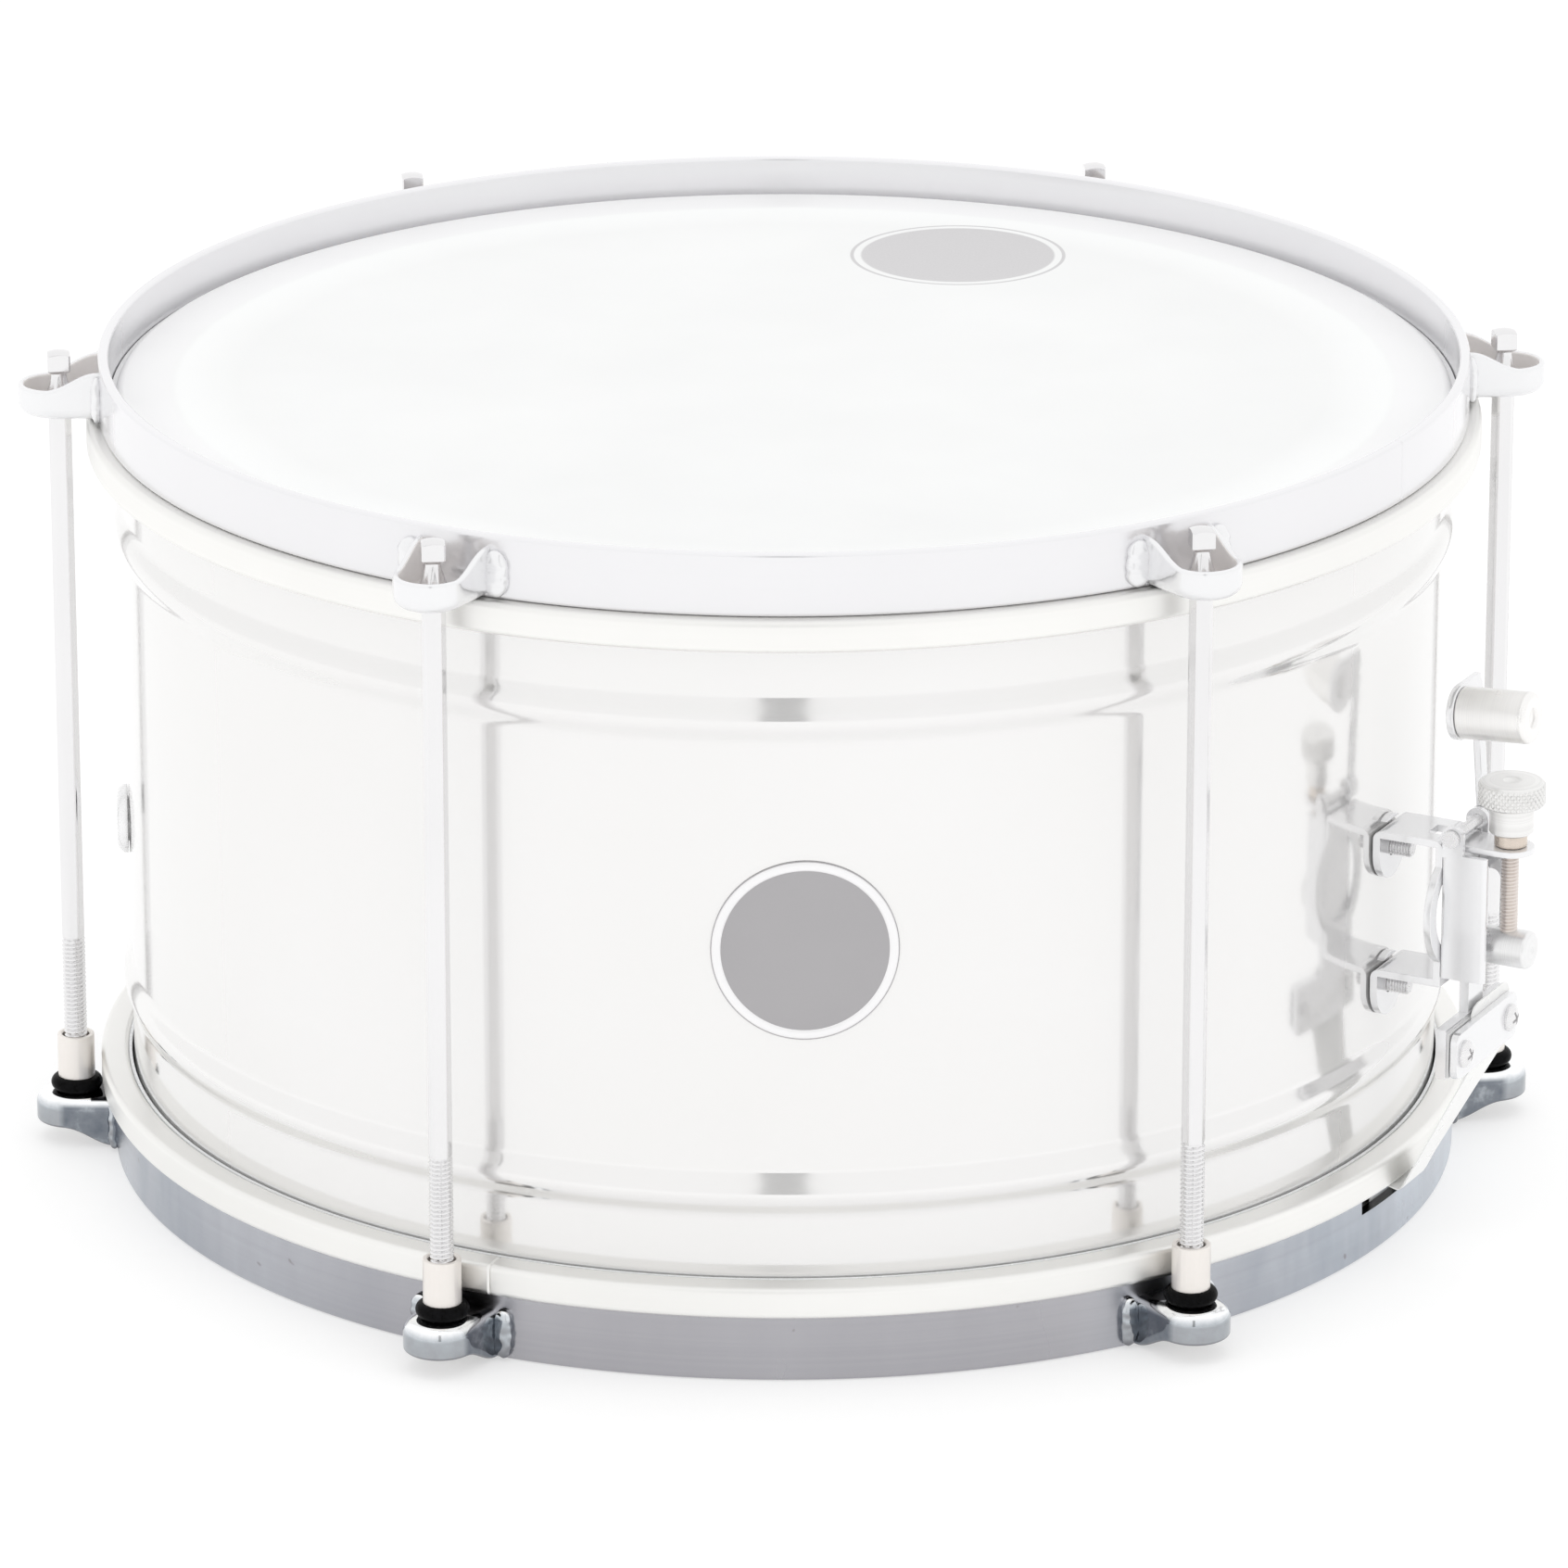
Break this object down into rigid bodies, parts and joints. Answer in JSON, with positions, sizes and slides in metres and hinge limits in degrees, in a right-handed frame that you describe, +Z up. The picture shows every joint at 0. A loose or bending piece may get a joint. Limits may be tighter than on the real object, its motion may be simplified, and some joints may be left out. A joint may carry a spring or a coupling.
{
  "type": "snare drum",
  "caption": "Deep metal snare drum with two rolled beads, strap hoops with claws, long tension rods, a coated head and a lever throw-off snare strainer.",
  "frame": {"origin": "centre of the bottom rim's plane, on the drum's axis", "axes": "+Z up the drum's axis; the badge faces -Y; +X is to the right of a person who looks at the badge"},
  "size_m": [0.4018, 0.3664, 0.2195],
  "materials": {
    "shell_metal": "brushed, polished",
    "chrome": "polished",
    "rod_chrome": "polished",
    "flesh_aluminium": "drawn, satin",
    "coated_film": "sprayed rough white coating",
    "snare_film": "thin, slightly hazy",
    "nut_nickel": "nickel plated brass, satin",
    "black_rubber": "matt",
    "pad_rubber": "pale grey, matt",
    "satin_aluminium": "turned, satin",
    "screw_steel": "oiled brown steel",
    "bush_bronze": "sintered bronze",
    "washer_steel": "zinc plated",
    "spring_steel": "bright drawn wire",
    "plate_brass": "satin",
    "strap_film": "translucent film",
    "badge_metal": "satin disc with a bright rim"
  },
  "bodies": {
    "drum": {"shell": "shell_metal", "badge": "badge_metal", "air_vent": "chrome", "batter_head": "coated_film", "batter_flesh_hoop": "flesh_aluminium", "batter_hoop": "chrome", "batter_hoop_claws": "chrome", "snare_side_head": "snare_film", "snare_side_flesh_hoop": "flesh_aluminium", "snare_side_hoop": "chrome", "snare_side_hoop_claws": "chrome", "rod_washers": "washer_steel", "barrel_nuts": "nut_nickel", "rubber_rings": "black_rubber", "strainer_bracket": "chrome", "strainer_bolts": "washer_steel", "strainer_bolt_washers": "washer_steel", "strainer_housing": "chrome", "lever_pivot_pin": "washer_steel", "butt_strap": "strap_film", "butt_bracket": "chrome", "butt_bolts": "washer_steel", "butt_bolt_washers": "washer_steel", "butt_clamp_pad": "pad_rubber", "butt_clamp_plate": "chrome", "butt_clamp_screws": "chrome"},
    "rod_1": {"tension_rod_1": "rod_chrome"},
    "rod_2": {"tension_rod_2": "rod_chrome"},
    "rod_3": {"tension_rod_3": "rod_chrome"},
    "rod_4": {"tension_rod_4": "rod_chrome"},
    "rod_5": {"tension_rod_5": "rod_chrome"},
    "rod_6": {"tension_rod_6": "rod_chrome"},
    "lever": {"throwoff_lever": "chrome", "lever_grip": "satin_aluminium", "lever_grip_rivet": "chrome"},
    "carriage": {"carriage": "chrome"},
    "knob": {"adjusting_knob": "satin_aluminium", "knob_bush": "bush_bronze", "adjusting_screw": "screw_steel"},
    "slider": {"cross_nut": "satin_aluminium", "slider_bar": "chrome", "clamp_pad": "pad_rubber", "clamp_plate": "chrome", "clamp_screws": "chrome"},
    "snares": {"snare_wires": "spring_steel", "snare_end_plates": "plate_brass", "throwoff_strap": "strap_film"}
  },
  "joints": [
    {"name": "rod_1_turn", "type": "hinge", "parent": "drum", "child": "rod_1", "pos_m": [0.095, -0.16454, 0.1], "axis": [0, 0, 1], "continuous": true},
    {"name": "rod_2_turn", "type": "hinge", "parent": "drum", "child": "rod_2", "pos_m": [0.19, 0, 0.1], "axis": [0, 0, 1], "continuous": true},
    {"name": "rod_3_turn", "type": "hinge", "parent": "drum", "child": "rod_3", "pos_m": [0.095, 0.16454, 0.1], "axis": [0, 0, 1], "continuous": true},
    {"name": "rod_4_turn", "type": "hinge", "parent": "drum", "child": "rod_4", "pos_m": [-0.095, 0.16454, 0.1], "axis": [0, 0, 1], "continuous": true},
    {"name": "rod_5_turn", "type": "hinge", "parent": "drum", "child": "rod_5", "pos_m": [-0.19, 0, 0.1], "axis": [0, 0, 1], "continuous": true},
    {"name": "rod_6_turn", "type": "hinge", "parent": "drum", "child": "rod_6", "pos_m": [-0.095, -0.16454, 0.1], "axis": [0, 0, 1], "continuous": true},
    {"name": "throwoff", "type": "hinge", "parent": "drum", "child": "lever", "pos_m": [0.17061, -0.0985, 0.116], "axis": [0.5, 0.866, 0], "range_deg": [-0.2, 94.5]},
    {"name": "carriage_drop", "type": "slide", "parent": "drum", "child": "carriage", "axis": [0, 0, 1], "range_m": [-0.006, 0], "deforming": ["throwoff_strap"]},
    {"name": "knob_turn", "type": "hinge", "parent": "carriage", "child": "knob", "pos_m": [0.18152, -0.1048, 0.12], "axis": [0, 0, 1], "range_deg": [-721, 721]},
    {"name": "slider_travel", "type": "slide", "parent": "carriage", "child": "slider", "axis": [0, 0, 1], "range_m": [-0.0016, 0.0016]},
    {"name": "snare_drop", "type": "hinge", "parent": "drum", "child": "snares", "pos_m": [-0.14376, 0.083, 0.0075], "axis": [0.5, 0.866, 0], "range_deg": [-0.01, 0.56]}
  ],
  "couplings": [
    {"joint": "throwoff", "follows": "carriage_drop", "rad_per_m": -274.31},
    {"joint": "snare_drop", "follows": "carriage_drop", "rad_per_m": -1.5708},
    {"joint": "knob_turn", "follows": "slider_travel", "rad_per_m": -7854}
  ]
}
